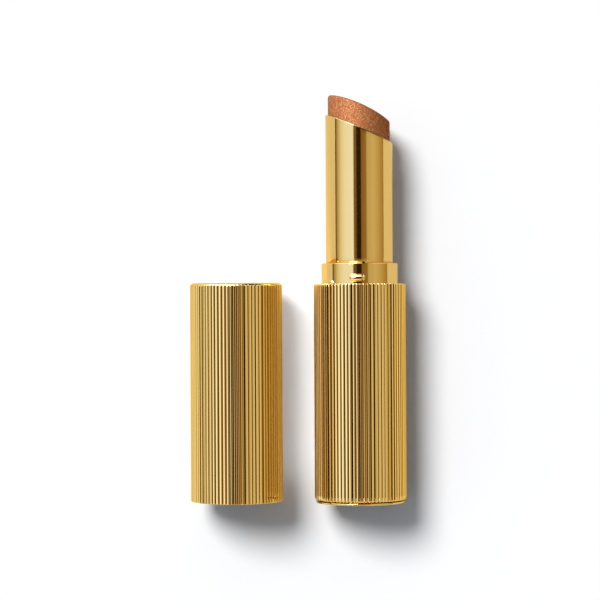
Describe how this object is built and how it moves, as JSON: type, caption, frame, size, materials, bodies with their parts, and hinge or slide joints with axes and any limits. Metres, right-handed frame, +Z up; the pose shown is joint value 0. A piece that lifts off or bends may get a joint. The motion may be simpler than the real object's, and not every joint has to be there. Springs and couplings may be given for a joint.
{
  "type": "lipstick case",
  "caption": "Twist-up lipstick case with a ribbed metal base, smooth collar, slant-cut tube and rising bullet, lying beside its ribbed pull-off cap.",
  "frame": {"origin": "on the table, under the middle of the pair as it lies", "axes": "+Y along the case from its foot to the bullet's tip, +Z up from the table, +X from the cap to the case"},
  "size_m": [0.0422, 0.0796, 0.018],
  "materials": {
    "smooth_gold": "bright gold anodised, smooth",
    "ribbed_gold": "bright gold anodised, ribbed",
    "acetal": "natural moulded acetal",
    "moulded": "moulded ABS",
    "silicone": "greased silicone",
    "weight_steel": "zinc-plated steel slug",
    "label_paper": "blank coated label",
    "lipstick_wax": "pearly copper-brown lipstick wax"
  },
  "bodies": {
    "tube": {"slanted_tube": "smooth_gold", "collar": "smooth_gold", "guide_tube": "acetal", "brake_ring": "silicone"},
    "base": {"base_shell": "ribbed_gold", "base_liner": "moulded", "base_plate": "smooth_gold", "base_weight": "weight_steel", "shade_label": "label_paper", "thrust_washer": "acetal", "cam_sleeve": "acetal", "retaining_ring": "acetal"},
    "carrier": {"elevator": "moulded", "bullet_cup": "smooth_gold", "bullet": "lipstick_wax"},
    "cap": {"cap_shell": "ribbed_gold", "cap_liner": "moulded", "cap_weight": "weight_steel"}
  },
  "joints": [
    {"name": "base_twist", "type": "hinge", "parent": "tube", "child": "base", "pos_m": [0.0121, 0, 0.009], "axis": [0, 1, 0], "range_deg": [-75, 315]},
    {"name": "carrier_slide", "type": "slide", "parent": "tube", "child": "carrier", "axis": [0, 1, 0], "range_m": [-0.00502, 0.02102]},
    {"name": "cap_slide", "type": "slide", "parent": "tube", "child": "cap", "axis": [0, 1, 0], "range_m": [0, 0.085]}
  ],
  "couplings": [
    {"joint": "carrier_slide", "follows": "base_twist", "m_per_rad": 0.0038197}
  ]
}
